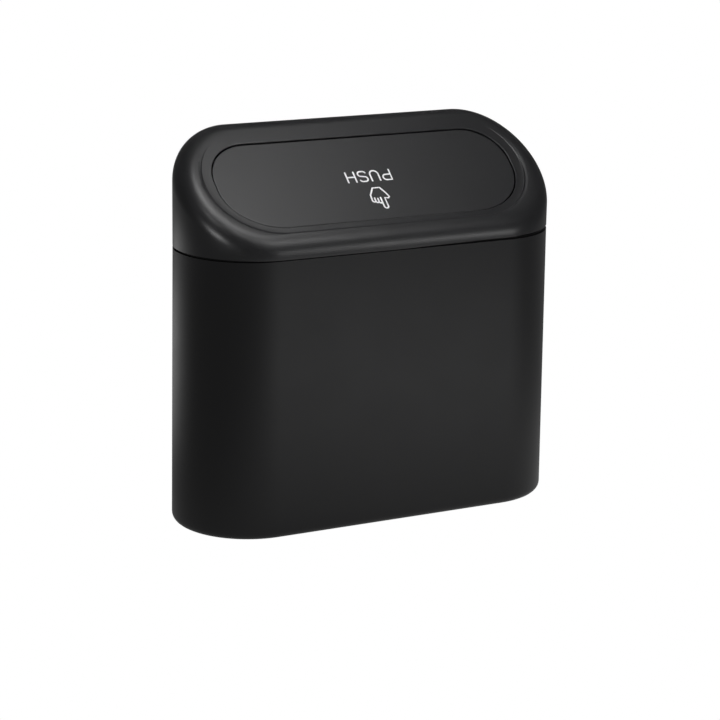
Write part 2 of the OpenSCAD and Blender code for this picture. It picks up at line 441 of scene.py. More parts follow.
@dataclass(frozen=True)
class WhiteInk:
    """Thin pad-printed white ink, a little uneven."""

    name: str
    bright: tuple[float, float, float] = (0.86, 0.86, 0.87)
    thin: tuple[float, float, float] = (0.70, 0.70, 0.72)
    patch_per_m: float = 1500.0
    patch_detail: float = 2.0
    thin_below: float = 0.3
    full_above: float = 0.55
    roughness: float = 0.5

    def material(self) -> bpy.types.Material:
        """Makes the ink: thin and full patches of white.

        Returns:
            The material.
        """
        made, kit, shader = new_material(self.name)
        shader.inputs["Roughness"].default_value = self.roughness
        place = kit.node("ShaderNodeTexCoord").outputs["Object"]
        patch = kit.node("ShaderNodeTexNoise", Scale=self.patch_per_m, Detail=self.patch_detail)
        ramp = kit.node("ShaderNodeValToRGB")
        ramp.color_ramp.elements[0].position = self.thin_below
        ramp.color_ramp.elements[0].color = (*self.thin, 1.0)
        ramp.color_ramp.elements[1].position = self.full_above
        ramp.color_ramp.elements[1].color = (*self.bright, 1.0)
        kit.link(place, patch.inputs["Vector"])
        kit.link(patch.outputs["Fac"], ramp.inputs["Fac"])
        kit.link(ramp.outputs["Color"], shader.inputs["Base Color"])
        return made


@dataclass(frozen=True)
class Palette:
    """Materials of the bin, made once."""

    shell: bpy.types.Material
    panel: bpy.types.Material
    steel: bpy.types.Material
    ink: bpy.types.Material


def make_palette() -> Palette:
    """Makes the four finishes.

    Returns:
        The palette that the pieces are dressed from.
    """
    return Palette(
        shell=MouldedPlastic("satin_black_shell", (0.010, 0.010, 0.011), 0.34).material(),
        panel=MouldedPlastic("satin_black_panel", (0.012, 0.012, 0.013), 0.38).material(),
        steel=DrawnSteel("drawn_steel").material(),
        ink=WhiteInk("white_ink").material(),
    )


@dataclass(frozen=True)
class Crossing:
    """Stretch along which a piece goes over from its own body's turn to another body's. Only its
    presence is read: the piece is then left unparented, in place.
    """

    body: str
    start: Vector
    end: Vector


@dataclass(frozen=True)
class Dress:
    """What a finished mesh becomes: its name, body, material and the node it stands for."""

    name: str
    body: str
    slot: str
    material: bpy.types.Material
    stands_for: tuple[str, ...] = ()
    crossing: Crossing | None = None
    sharp_deg: float = 44.0

    def put_on(self, mesh: bmesh.types.BMesh) -> bpy.types.Object:
        """Turns the mesh into a piece of the scene.

        Args:
            mesh: Finished mesh, in the shared frame. It is freed.

        Returns:
            The new object, riding on its body unless it has a crossing.
        """
        bmesh.ops.recalc_face_normals(mesh, faces=mesh.faces)
        data = bpy.data.meshes.new(self.name)
        mesh.to_mesh(data)
        mesh.free()
        return self.put_on_data(data)

    def put_on_data(self, data: bpy.types.Mesh) -> bpy.types.Object:
        """Turns finished mesh data into a piece of the scene.

        Args:
            data: Finished mesh data, in the shared frame.

        Returns:
            The new object, riding on its body, or left unparented in place where it has a crossing.
        """
        data.shade_smooth()
        data.set_sharp_from_angle(angle=math.radians(self.sharp_deg))
        data.materials.clear()
        data.materials.append(self.material)
        piece = add_object(self.name, data)
        if self.crossing:
            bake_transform(piece)
        else:
            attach(piece, self.body)
        if self.stands_for:
            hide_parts(*self.stands_for)
        LOG.info("%s: %d faces on %s", self.name, len(data.polygons), self.body)
        return piece


# Sizes that the pieces share

@dataclass(frozen=True)
class BinSizes:
    """Driving sizes of the bin in metres, read from the frame where it holds them."""

    half_width: float = -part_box("body")[0].x
    end_radius: float = -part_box("body")[0].y
    seam_low: float = 110.5 * MM
    lid_low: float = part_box("body")[1].z
    seam_depth: float = 1.3 * MM
    wall: float = 1.8 * MM
    floor: float = 2.0 * MM
    slope: float = math.radians(38.6)
    corner_z: float = 116.7 * MM
    recess_tilt: float = math.radians(1.9)
    recess_out: float = 54.0 * MM
    pin_tilt: float = math.radians(1.1)
    flare: float = 0.75 * MM

    @property
    def reach(self) -> float:
        """Distance from the middle to the centre of a round end."""
        return self.half_width - self.end_radius

    @property
    def on_slope(self) -> Matrix:
        """Frame of the slope: X along the width, Y up the slope, Z out of it."""
        turn = Matrix.Rotation(self.slope, 4, "X")
        return Matrix.Translation((0.0, -self.end_radius, self.corner_z)) @ turn

    def _dipped(self, tilt: float) -> Matrix:
        """Frame of the slope turned down towards the front about the back of the recess."""
        shift = Matrix.Translation((0.0, self.recess_out, 0.0))
        return self.on_slope @ shift @ Matrix.Rotation(tilt, 4, "X") @ shift.inverted()

    @property
    def on_recess(self) -> Matrix:
        """Frame of the floor of the recess, which dips a little towards the front."""
        return self._dipped(self.recess_tilt)

    @property
    def beside_pin(self) -> Matrix:
        """Frame that the pin is set out in, which dips less than the recess."""
        return self._dipped(self.pin_tilt)


@dataclass(frozen=True)
class HingeSizes:
    """Sizes of the pin, knuckles and lugs, and the frame of the pin."""

    sizes: BinSizes
    opening_s: float = 30.9 * MM
    panel_x: float = -0.6 * MM
    panel_s: float = 30.6 * MM
    flap_radius: float = 20.9 * MM
    pin_sink: float = 0.7 * MM
    flap_thick: float = 2.0 * MM
    inset: float = 3.0 * MM
    drop: float = 3.2 * MM
    lid_wall: float = 2.2 * MM
    knuckle_x: float = 43.0 * MM
    knuckle_w: float = 6.0 * MM
    knuckle_r: float = 2.7 * MM
    lug_w: float = 2.5 * MM
    lug_gap: float = 0.3 * MM
    lug_reach: float = 9.5 * MM

    @property
    def on_pin(self) -> Matrix:
        """Frame of the pin: X along it, Y up the slope, Z out of it.

        Returns:
            The frame, its origin on the middle of the pin.
        """
        along = self.opening_s + self.flap_radius - self.inset
        below = -self.pin_sink - self.flap_thick - self.drop
        return self.sizes.beside_pin @ Matrix.Translation((0.0, along, below))

    @property
    def frame_under(self) -> float:
        """Height of the underside of the lid above the pin."""
        return self.pin_sink + self.flap_thick + self.drop - self.lid_wall

    @property
    def cheek(self) -> float:
        """Distance from the middle of a knuckle to the middle of the lug beside it."""
        return self.knuckle_w / 2 + self.lug_gap + self.lug_w / 2


# Tub

@dataclass
class Tub:
    """Deep tub with a stepped rim, and the rails and stop for the clip on its back."""

    sizes: BinSizes
    palette: Palette
    base_edge: float = 3.2 * MM
    rim_edge: float = 0.12 * MM
    rim_fall: float = 0.10 * MM
    margin: float = 2.0 * MM
    rim_margin: float = 1.0 * MM
    edge_steps: int = 8
    rail_x: float = 20.3 * MM
    rail_wall: float = 1.8 * MM
    rail_cover: float = 2.2 * MM
    rail_low: float = 56.0 * MM
    rail_high: float = 94.0 * MM
    rail_lip_y: float = 32.4 * MM
    rail_back_y: float = 34.2 * MM
    stop_low: float = 53.5 * MM
    stop_high: float = 55.7 * MM
    stop_back_y: float = 32.1 * MM
    rail_edge: float = 0.25 * MM
    root: float = 0.4 * MM

    def _section(self) -> list[tuple[float, float]]:
        """Lists the wall's section as (distance out from the ends' centres, height).

        Returns:
            Points from the middle of the underside, round the rim, to the middle of the floor.
        """
        s = self.sizes
        outer, inner = s.end_radius, s.end_radius - s.wall
        lip = outer - s.seam_depth
        low, high, e = s.seam_low, s.lid_low, self.rim_edge
        mid, margin = MID_ROUND * e, self.margin
        curve = [QUARTER * i / self.edge_steps for i in range(self.edge_steps + 1)]
        points = [(outer - self.base_edge - margin, 0.0)]
        points += [
            (outer - self.base_edge * (1 - math.sin(a)), self.base_edge * (1 - math.cos(a)))
            for a in curve
        ]
        points += [(outer, self.base_edge + margin), (outer, low / 2)]
        points += [(outer, low - self.rim_margin)]
        points += [(outer, low), (lip, low - self.rim_fall), (lip, high - e)]
        points += [(lip - mid, high - mid), (lip - e, high), (inner + e, high)]
        points += [(inner + mid, high - mid), (inner, high - e), (inner, high - margin)]
        bend = self.base_edge - s.wall
        points += [(inner, s.floor + bend + margin)]
        points += [
            (inner - bend * (1 - math.cos(a)), s.floor + bend * (1 - math.sin(a))) for a in curve
        ]
        points += [(inner - bend - margin, s.floor)]
        return points

    def build(self) -> bpy.types.Object:
        """Builds the tub with its rails.

        Returns:
            The finished piece.
        """
        mesh = bmesh.new()
        round_trip = walk_round()
        base = Stadium(self.sizes.reach, 0.0)
        full = self.sizes.seam_low
        rings = [
            [base.point(st, z, r + self.sizes.flare * max(1 - z / full, 0.0)) for st in round_trip]
            for r, z in self._section()
        ]
        loft_solid(mesh, rings)
        for side in Side:
            self._add_rail(mesh, side)
        self._add_stop(mesh)
        dress = Dress("tub_shell", "tub", "bin_plastic", self.palette.shell, ("body",))
        return dress.put_on(mesh)

    def _add_rail(self, mesh: bmesh.types.BMesh, side: Side) -> None:
        """Adds the L-shaped rail on one side of the clip's plate.

        Args:
            mesh: Mesh of the tub.
            side: Side of the plate.
        """
        sign = side.value
        near, far = self.rail_x, self.rail_x + self.rail_wall
        start = self.sizes.end_radius - self.root
        corners = [
            (near, start), (far, start), (far, self.rail_back_y),
            (near - self.rail_cover, self.rail_back_y), (near - self.rail_cover, self.rail_lip_y),
            (near, self.rail_lip_y),
        ]
        outline = [Vector((sign * x, y, self.rail_low)) for x, y in corners]
        depth = Vector((0.0, 0.0, self.rail_high - self.rail_low))
        prism_piece(mesh, outline, depth, Matrix.Identity(4), self.rail_edge)

    def _add_stop(self, mesh: bmesh.types.BMesh) -> None:
        """Adds the ledge that the clip's plate stands on.

        Args:
            mesh: Mesh of the tub.
        """
        half = self.rail_x + self.rail_wall
        low = Vector((-half, self.sizes.end_radius - self.root, self.stop_low))
        high = Vector((half, self.stop_back_y, self.stop_high))
        box_piece(mesh, low, high, Matrix.Identity(4), self.rail_edge)


# Lid

@dataclass
class LidFrame:
    """Wedge-shaped lid: rolled shoulder, tilted recess, opening, collar and hinge lugs."""

    sizes: BinSizes
    hinge: HingeSizes
    palette: Palette
    shoulder_r: float = 8.0 * MM
    front_ease: float = 3.0 * MM
    ease_power: int = 4
    wall: float = 2.2 * MM
    opening: PanelOutline = field(default_factory=PanelOutline)
    recess: Stadium = field(default_factory=lambda: Stadium(43.2 * MM, 26.7 * MM))
    recess_s: float = 33.0 * MM
    back_tuck: float = 0.10
    tuck_power: int = 4
    roll_in: float = 0.30 * MM
    roll_width: float = 1.5 * MM
    roll_shares: tuple[float, ...] = (0.33, 0.66, 1.0)
    step_edge: float = 0.30 * MM
    step_share: float = 0.45
    step_spread: float = 0.06 * MM
    crest_steps: int = 4
    round_steps: int = 3
    opening_edge: float = 0.2 * MM
    opening_margin: float = 0.4 * MM
    lip_edge: float = 0.25 * MM
    collar_root: float = 0.05 * MM
    collar_out: float = 27.45 * MM
    collar_in: float = 25.85 * MM
    collar_low: float = 105.0 * MM
    flange_top: float = 112.6 * MM
    shoulder_steps: int = 18
    lug_steps: int = 12
    lug_edge: float = 0.2 * MM
    lug_slack: float = 0.2 * MM
    lug_root: float = 0.8 * MM
    lug_notch: float = 0.6 * MM
    lug_clear: float = 1.1 * MM
    seam_knots: tuple[tuple[float, float], ...] = (
        (-80 * MM, 0.30 * MM), (-45 * MM, -0.28 * MM), (0.0, -0.28 * MM), (25 * MM, 0.08 * MM),
        (48 * MM, 0.42 * MM), (62 * MM, 0.75 * MM), (80 * MM, 0.95 * MM),
    )
    stations: list[Station] = field(default_factory=walk_round)

    def _seam_lift(self, x: float) -> float:
        """Height by which the lower edge leaves its nominal height, from the knots.

        Args:
            x: Place along the width.

        Returns:
            The height, below zero where the edge hangs lower.
        """
        for (x0, z0), (x1, z1) in zip(self.seam_knots, self.seam_knots[1:]):
            if x <= x1:
                share = min(max((x - x0) / (x1 - x0), 0.0), 1.0)
                return z0 + (z1 - z0) * share * share * (3 - 2 * share)
        return self.seam_knots[-1][1]

    def _wall_ring(self, radius: float, height: float, lifted: bool = False) -> list[Vector]:
        """Level ring round the lid.

        Args:
            radius: Distance out from the ends' centres.
            height: Height of the ring.
            lifted: Whether the ring follows the seam.

        Returns:
            The places of the ring.
        """
        outline = Stadium(self.sizes.reach, radius)
        ring = [outline.point(st, height) for st in self.stations]
        if lifted:
            for point in ring:
                point.z += self._seam_lift(point.x)
        return ring

    def _shoulder_ring(self, share: float, radius: float) -> list[Vector]:
        """Ring of the rolling shoulder, from the wall at share 0 to the slope at share 1.

        Args:
            share: How far round the shoulder the ring lies.
            radius: Distance from the middle line of the shoulder.

        Returns:
            The places of the ring.
        """
        s = self.sizes
        slope_out = Vector((0.0, -math.sin(s.slope), math.cos(s.slope)))
        middle = Stadium(s.reach, s.end_radius - self.shoulder_r)
        ring = []
        for st in self.stations:
            ease = self.front_ease * max(-st.outward.y, 0.0) ** self.ease_power
            point = middle.point(st, grow=-ease)
            rise = (point.y + s.end_radius) * math.tan(s.slope)
            point.z = s.corner_z + rise - (self.shoulder_r + ease) / math.cos(s.slope)
            ring.append(point + st.outward.slerp(slope_out, share) * (radius + ease))
        return ring

    def _recess_ring(self, grow: float, drop: Callable[[float], float]) -> list[Vector]:
        """Ring round the recess on the slope.

        Args:
            grow: Distance by which the recess is grown outwards.
            drop: Gives the ring's drop below the slope from the height of the step there.

        Returns:
            The places of the ring.
        """
        ring = []
        for st in self.stations:
            flat = self.recess.point(st, grow=grow)
            flat.x += self.hinge.panel_x
            if flat.y > 0:
                flat.y *= 1 - self.back_tuck * math.sin(st.angle) ** self.tuck_power
            flat.y += self.recess_s
            gap = max(self.sizes.recess_out - flat.y, 0.0)
            flat.z = -drop(gap * math.tan(self.sizes.recess_tilt))
            ring.append(self.sizes.on_slope @ flat)
        return ring

    def _opening_ring(self, place: Matrix, grow: float, height: float) -> list[Vector]:
        """Ring round the opening.

        Args:
            place: Frame that the ring lies in, of the recess or of the slope.
            grow: Distance by which the opening is grown outwards.
            height: Height above the frame.

        Returns:
            The places of the ring.
        """
        shift = Vector((self.hinge.panel_x, self.hinge.panel_s, 0.0))
        return [place @ (self.opening.point(st, height, grow) + shift) for st in self.stations]

    def _step_rings(self) -> list[list[Vector]]:
        """Lists the rings over the soft step into the recess.

        Returns:
            The rings from the slope down to the floor of the recess.
        """
        rings = []
        edge, spread = self.step_edge, self.step_spread
        for share in self.roll_shares:
            rings.append(self._recess_ring(
                edge + spread + self.roll_width * (1 - share),
                lambda h, share=share: self._rolled(h) * share * share,
            ))
        for i in range(1, self.crest_steps + 1):
            a = QUARTER * i / self.crest_steps
            rings.append(self._recess_ring(
                edge * (1 - math.sin(a)) + spread,
                lambda h, a=a: self._rolled(h) + self._step_round(h) * (1 - math.cos(a)),
            ))
        for i in range(self.round_steps + 1):
            a = QUARTER * i / self.round_steps
            rings.append(self._recess_ring(
                -edge * (1 - math.cos(a)) - spread * (i + 1) / (self.round_steps + 1),
                lambda h, a=a: h - self._step_round(h) * (1 - math.sin(a)),
            ))
        return rings

    def _rolled(self, step: float) -> float:
        """Drop of the inner side of the shoulder where the recess is that deep."""
        return min(self.roll_in, self.step_share * step)

    def _step_round(self, step: float) -> float:
        """Height of the rounds above and below the step where the recess is that deep."""
        return min(self.step_edge, self.step_share * (step - self._rolled(step)))

    def _rings(self) -> list[list[Vector]]:
        """Lists every ring once round the section of the lid.

        Returns:
            The rings from the lower outer edge, over the top and back up the collar.
        """
        s = self.sizes
        outer, inner = s.end_radius, s.end_radius - self.wall
        low, e, g = s.lid_low, self.lip_edge, self.opening_edge
        rings = [
            self._wall_ring(outer - e, low, True),
            self._wall_ring(outer - MID_ROUND * e, low + MID_ROUND * e, True),
            self._wall_ring(outer, low + e, True),
        ]
        shares = [i / self.shoulder_steps for i in range(self.shoulder_steps + 1)]
        rings += [self._shoulder_ring(t, self.shoulder_r) for t in shares]
        rings += self._step_rings()
        recess, slope = s.on_recess, s.on_slope
        rings += [self._opening_ring(recess, g + self.opening_margin, 0.0)]
        for i in range(self.round_steps + 1):
            a = QUARTER * i / self.round_steps
            rings.append(self._opening_ring(recess, g * (1 - math.sin(a)), -g * (1 - math.cos(a))))
        rings += [self._opening_ring(slope, 0.0, g - self.wall)]
        rings += [self._opening_ring(slope, g, -self.wall)]
        rings += [self._shoulder_ring(t, self.shoulder_r - self.wall) for t in shares[::-2]]
        rings += [
            self._wall_ring(inner, self.flange_top),
            self._wall_ring(self.collar_in, self.flange_top),
            self._wall_ring(self.collar_in, self.collar_low + e),
            self._wall_ring(self.collar_in + e, self.collar_low),
            self._wall_ring(self.collar_out - e, self.collar_low),
            self._wall_ring(self.collar_out, self.collar_low + e),
            self._wall_ring(self.collar_out, low),
            self._wall_ring(self.collar_out + self.collar_root, low, True),
        ]
        return rings

    def build(self) -> bpy.types.Object:
        """Builds the lid frame.

        Returns:
            The finished piece.
        """
        mesh = bmesh.new()
        rings = self._rings()
        loft = Loft(mesh, rings[0])
        for ring in rings[1:]:
            loft.grow(ring)
        loft.close()
        for side in Side:
            for cheek in Side:
                self._add_lug(mesh, side, cheek)
        dress = Dress("lid_shell", "lid", "bin_plastic", self.palette.shell, ("lid_frame",))
        return dress.put_on(mesh)

    def _add_lug(self, mesh: bmesh.types.BMesh, side: Side, cheek: Side) -> None:
        """Adds one lug that carries the pin below the rear edge of the opening.

        Args:
            mesh: Mesh of the lid.
            side: Side of the lid.
            cheek: Side of the knuckle that the lug stands beside.
        """
        h = self.hinge
        radius = h.drop - self.lug_slack
        reach, under = h.lug_reach, h.frame_under + self.lug_root
        clear = h.inset + self.lug_clear
        corners = half_round(radius, QUARTER, self.lug_steps)
        corners += [(h.inset, -radius), (reach, 0.0), (reach, under), (clear, under)]
        corners += [(clear, radius - self.lug_notch)]
        x = side.value * h.knuckle_x + cheek.value * h.cheek - h.lug_w / 2
        outline = [Vector((x, along, out)) for along, out in corners]
        prism_piece(mesh, outline, Vector((h.lug_w, 0.0, 0.0)), h.on_pin, self.lug_edge)


# Push flap

@dataclass
class PushFlap:
    """Push panel with a rounded rim, stiffening ribs, knuckles and stop tabs."""

    sizes: BinSizes
    hinge: HingeSizes
    palette: Palette
    outline: PanelOutline = field(default_factory=PanelOutline)
    gap: float = 0.38 * MM
    sink: float = 0.5 * MM
    edge: float = 0.3 * MM
    edge_steps: int = 6
    under_edge: float = 0.2 * MM
    under_margin: float = 2.0 * MM
    face_margin: float = 0.9 * MM
    rib_h: float = 2.2 * MM
    rib_t: float = 1.2 * MM
    rib_half: float = 48.0 * MM
    rib_offsets: tuple[float, float] = (-11.5 * MM, 3.5 * MM)
    rib_crosses: tuple[float, float] = (12.0 * MM, 36.0 * MM)
    tab_xs: tuple[float, ...] = (-30.0 * MM, 0.0, 30.0 * MM)
    tab_w: float = 9.0 * MM
    tab_reach: float = 1.9 * MM
    tab_t: float = 1.1 * MM
    tab_root: float = 2.5 * MM
    part_edge: float = 0.2 * MM
    knuckle_steps: int = 16
    opening_r: float = 21.4 * MM
    root: float = 0.6 * MM

    @property
    def on_flap(self) -> Matrix:
        """Frame of the flap: its middle, with Z zero on its upper face."""
        shift = Matrix.Translation((self.hinge.panel_x, self.hinge.panel_s, -self.sink))
        return self.sizes.on_recess @ shift

    def _section(self) -> list[tuple[float, float]]:
        """Lists the rim's section as (growth, height).

        Returns:
            Points from the underside, round the rim, to the upper face.
        """
        thick, e, low = self.hinge.flap_thick, self.edge, self.under_edge
        points = [(-self.under_margin, -thick), (-low, -thick), (0.0, low - thick)]
        for i in range(self.edge_steps + 1):
            a = QUARTER * i / self.edge_steps
            points.append((-e * (1 - math.cos(a)), -e * (1 - math.sin(a))))
        points.append((-self.face_margin, 0.0))
        return [(grow - self.gap, height) for grow, height in points]

    def build(self) -> bpy.types.Object:
        """Builds the flap with its underside.

        Returns:
            The finished piece.
        """
        mesh = bmesh.new()
        place = self.on_flap
        round_trip = walk_round()
        rings = [
            [place @ self.outline.point(st, height, grow) for st in round_trip]
            for grow, height in self._section()
        ]
        loft_solid(mesh, rings)
        self._add_ribs(mesh)
        self._add_tabs(mesh)
        for side in Side:
            self._add_knuckle(mesh, side)
        dress = Dress("flap_panel", "push_flap", "flap_plastic", self.palette.panel, ("flap",))
        return dress.put_on(mesh)

    def _add_ribs(self, mesh: bmesh.types.BMesh) -> None:
        """Adds the two long ribs and four cross ribs below the panel.

        Args:
            mesh: Mesh of the flap.
        """
        top = -self.hinge.flap_thick + self.root
        low = -self.hinge.flap_thick - self.rib_h
        half = self.rib_t / 2
        for offset in self.rib_offsets:
            a = Vector((-self.rib_half, offset - half, low))
            b = Vector((self.rib_half, offset + half, top))
            box_piece(mesh, a, b, self.on_flap, self.part_edge)
        for side in Side:
            for x in self.rib_crosses:
                a = Vector((side.value * x - half, self.rib_offsets[0], low))
                b = Vector((side.value * x + half, self.rib_offsets[1], top))
                box_piece(mesh, a, b, self.on_flap, self.part_edge)

    def _add_tabs(self, mesh: bmesh.types.BMesh) -> None:
        """Adds the tabs on the front edge that catch under the lid.

        Args:
            mesh: Mesh of the flap.
        """
        base = -self.hinge.flap_thick
        for x in self.tab_xs:
            a = Vector((x - self.tab_w / 2, -self.opening_r - self.tab_reach, base))
            b = Vector((x + self.tab_w / 2, -self.opening_r + self.tab_root, base + self.tab_t))
            box_piece(mesh, a, b, self.on_flap, self.part_edge)

    def _add_knuckle(self, mesh: bmesh.types.BMesh, side: Side) -> None:
        """Adds the eye that turns on the pin on one side.

        Args:
            mesh: Mesh of the flap.
            side: Side of the flap.
        """
        h = self.hinge
        corners = half_round(h.knuckle_r, math.pi, self.knuckle_steps)
        corners += [(h.knuckle_r, h.drop + self.root), (-h.knuckle_r, h.drop + self.root)]
        x = side.value * h.knuckle_x - h.knuckle_w / 2
        outline = [Vector((x, along, out)) for along, out in corners]
        prism_piece(mesh, outline, Vector((h.knuckle_w, 0.0, 0.0)), h.on_pin, self.part_edge)


@dataclass
class FlapPrint:
    """Generic word and pointing hand printed on the flap, to be read from behind."""

    flap: PushFlap
    palette: Palette
    pen: float = 0.34 * MM
    relief: float = 0.12
    letter_h: float = 5.0 * MM
    letter_w: float = 3.6 * MM
    pitch: float = 5.25 * MM
    word_x: float = 0.2 * MM
    word_s: float = 31.4 * MM
    hand_x: float = 1.2 * MM
    hand_s: float = 20.2 * MM
    hand_scale: float = 0.94
    arc_steps: int = 10

    def _arc(
        self, centre: tuple[float, float], radius: float, start: float, end: float
    ) -> list[tuple[float, float]]:
        """Points on an arc.

        Args:
            centre: Centre of the arc.
            radius: Its radius.
            start: Angle of its first point in degrees.
            end: Angle of its last point in degrees.

        Returns:
            The points in order.
        """
        turns = [start + (end - start) * i / self.arc_steps for i in range(self.arc_steps + 1)]
        angles = [math.radians(turn) for turn in turns]
        return [
            (centre[0] + radius * math.cos(a), centre[1] + radius * math.sin(a)) for a in angles
        ]

    def _letters(self) -> dict[str, list[list[tuple[float, float]]]]:
        """Centre lines of the four letters, each from its lower left corner.

        Returns:
            Strokes by letter, in units of the letters' height.
        """
        w = self.letter_w / self.letter_h
        bowl = 0.27
        turn = w / 2
        hook = 0.245
        slant = 0.02
        s_top = self._arc((w - hook - slant, 1 - hook), hook, 25, 90)
        s_left = self._arc((hook, 1 - hook), hook, 90, 240)
        s_right = self._arc((w - hook, hook), hook, 60, -90)
        s_low = self._arc((hook + slant, hook), hook, -90, -155)
        return {
            "P": [[(0, 0), (0, 1), (w - bowl, 1)] + self._arc((w - bowl, 1 - bowl), bowl, 90, -90)
                  + [(0, 1 - 2 * bowl)]],
            "U": [[(0, 1)] + [(0, turn)] + self._arc((turn, turn), turn, 180, 360) + [(w, 1)]],
            "S": [s_top + s_left + s_right + s_low],
            "H": [[(0, 0), (0, 1)], [(w, 0), (w, 1)], [(0, 0.5), (w, 0.5)]],
        }

    def _hand(self) -> list[list[tuple[float, float]]]:
        """Centre lines of the pointing hand about its middle.

        Returns:
            Strokes in millimetres: the outline, one side of the finger and two creases.
        """
        tip = self._arc((0.95, -4.5), 0.95, 180, 360)
        thumb = [(1.9, 0.0), (3.5, -0.3), (4.2, 0.4), (3.2, 2.7), (1.8, 5.0)]
        palm = [(1.5, 5.5), (-1.9, 5.5), (-2.3, 4.7), (-4.1, 1.8), (-4.25, -0.8)]
        bumps = (
            self._arc((-3.5, -1.1), 0.72, 180, 340) + self._arc((-2.1, -1.5), 0.72, 195, 345)
            + self._arc((-0.7, -1.9), 0.7, 200, 350)
        )
        creases = [[(x, s), (x, s + 1.5)] for x, s in ((-2.8, -1.3), (-1.4, -1.7))]
        return [tip + thumb + palm + bumps, [(0.0, -4.5), (0.0, 0.2)], *creases]

    def build(self) -> bpy.types.Object:
        """Builds the print as thin raised strokes.

        Returns:
            The finished piece.
        """
        middle = self.flap.hinge.panel_s
        strokes: list[list[Vector]] = []
        letters = self._letters()
        width = 3 * self.pitch + self.letter_w
        for place, letter in enumerate("PUSH"):
            left = -width / 2 - self.word_x + place * self.pitch
            for stroke in letters[letter]:
                points = [
                    Vector((left + x * self.letter_h, (y - 0.5) * self.letter_h, 0)) for x, y in stroke
                ]
                strokes.append([Vector((-p.x, self.word_s - middle - p.y, 0)) for p in points])
        for stroke in self._hand():
            centre = Vector((self.hand_x, self.hand_s - middle, 0))
            strokes.append([centre + self.hand_scale * Vector((x, y, 0)) * MM for x, y in stroke])
        data = self._ink(strokes)
        dress = Dress("push_print", "push_flap", "white_print", self.palette.ink)
        return dress.put_on_data(data)

    def _ink(self, strokes: list[list[Vector]]) -> bpy.types.Mesh:
        """Sweeps the pen along the strokes and lays them flat on the flap.

        Args:
            strokes: Centre lines on the flap.

        Returns:
            The mesh of the ink, in place.
        """
        curve = bpy.data.curves.new("pen_strokes", "CURVE")
        curve.dimensions = "3D"
        curve.bevel_depth = self.pen
        curve.bevel_resolution = 3
        curve.use_fill_caps = True
        for stroke in strokes:
            spline = curve.splines.new("POLY")
            spline.points.add(len(stroke) - 1)
            for point, place in zip(spline.points, stroke):
                point.co = (*place, 1.0)
        holder = add_object("pen_strokes", curve)
        bpy.context.view_layer.update()
        swept = holder.evaluated_get(bpy.context.evaluated_depsgraph_get())
        data = bpy.data.meshes.new_from_object(swept)
        bpy.data.objects.remove(holder)
        mesh = bmesh.new()
        mesh.from_mesh(data)
        for stroke in strokes:
            for end in (stroke[0], stroke[-1]):
                bmesh.ops.create_uvsphere(
                    mesh, u_segments=16, v_segments=8, radius=self.pen, matrix=Matrix.Translation(end)
                )
        flatten = self.flap.on_flap @ Matrix.Diagonal((1.0, 1.0, self.relief, 1.0))
        bmesh.ops.transform(mesh, matrix=flatten, verts=mesh.verts)
        bmesh.ops.recalc_face_normals(mesh, faces=mesh.faces)
        mesh.to_mesh(data)
        mesh.free()
        return data


# Hinge works

@dataclass
class HingeWorks:
    """Steel pin and the torsion spring that shuts the flap."""

    hinge: HingeSizes
    palette: Palette
    wire_r: float = 0.4 * MM
    coil_r: float = 2.0 * MM
    turns: int = 6
    pitch: float = 1.0 * MM
    front_leg: float = 10.0 * MM
    rear_leg: float = 7.0 * MM
    leg_clear: float = 0.05 * MM
    coil_clear: float = 0.1 * MM
    turn_steps: int = 28
    wire_sides: int = 14

    def _path(self) -> list[Vector]:
        """Middle line of the wire in the frame of the pin.

        Returns:
            Points from the front leg, round the coil, to the rear leg.
        """
        h = self.hinge
        end_x = h.knuckle_x - h.cheek - h.lug_w / 2 - self.wire_r - self.coil_clear
        start_x = end_x - self.turns * self.pitch
        front_z = h.drop - self.wire_r - self.leg_clear
        rear_z = h.frame_under - self.wire_r - self.leg_clear
        path = [
            Vector((start_x, -self.front_leg, front_z)),
            Vector((start_x, -self.front_leg / 2, (front_z + self.coil_r) / 2)),
        ]
        for i in range(self.turns * self.turn_steps + 1):
            turn = 2 * math.pi * i / self.turn_steps
            x = start_x + self.pitch * i / self.turn_steps
            path.append(Vector((x, self.coil_r * math.sin(turn), self.coil_r * math.cos(turn))))
        path += [
            Vector((end_x, self.rear_leg / 2, (rear_z + self.coil_r) / 2)),
            Vector((end_x, self.rear_leg, rear_z)),
        ]
        return path

    def build_spring(self) -> bpy.types.Object:
        """Builds the spring as one swept wire.

        Returns:
            The finished piece.
        """
        path = self._path()
        last = len(path) - 1
        rings = []
        for i, point in enumerate(path):
            along = (path[min(i + 1, last)] - path[max(i - 1, 0)]).normalized()
            side = (Vector((1, 0, 0)) - along * along.x).normalized()
            up = along.cross(side)
            angles = [2 * math.pi * k / self.wire_sides for k in range(self.wire_sides)]
            rings.append([
                self.hinge.on_pin @ (point + (side * math.cos(a) + up * math.sin(a)) * self.wire_r)
                for a in angles
            ])
        mesh = bmesh.new()
        loft_solid(mesh, rings)
        front, rear = path[0].x + self.wire_r, path[-1].x - self.wire_r
        winding = Crossing(
            "lid",
            self.hinge.on_pin @ Vector((front, 0.0, 0.0)),
            self.hinge.on_pin @ Vector((rear, 0.0, 0.0)),
        )
        dress = Dress(
            "flap_spring", "push_flap", "spring_steel", self.palette.steel,
            ("torsion_spring",), crossing=winding,
        )
        return dress.put_on(mesh)

    def dress_pin(self) -> bpy.types.Object:
        """Gives the pin of the frame its steel.

        Returns:
            The pin of the frame.
        """
        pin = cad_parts["hinge_pin"]
        for slot in pin.material_slots:
            slot.material = self.palette.steel
        LOG.info("hinge_pin: kept from the frame")
        return pin


# Hanging clip

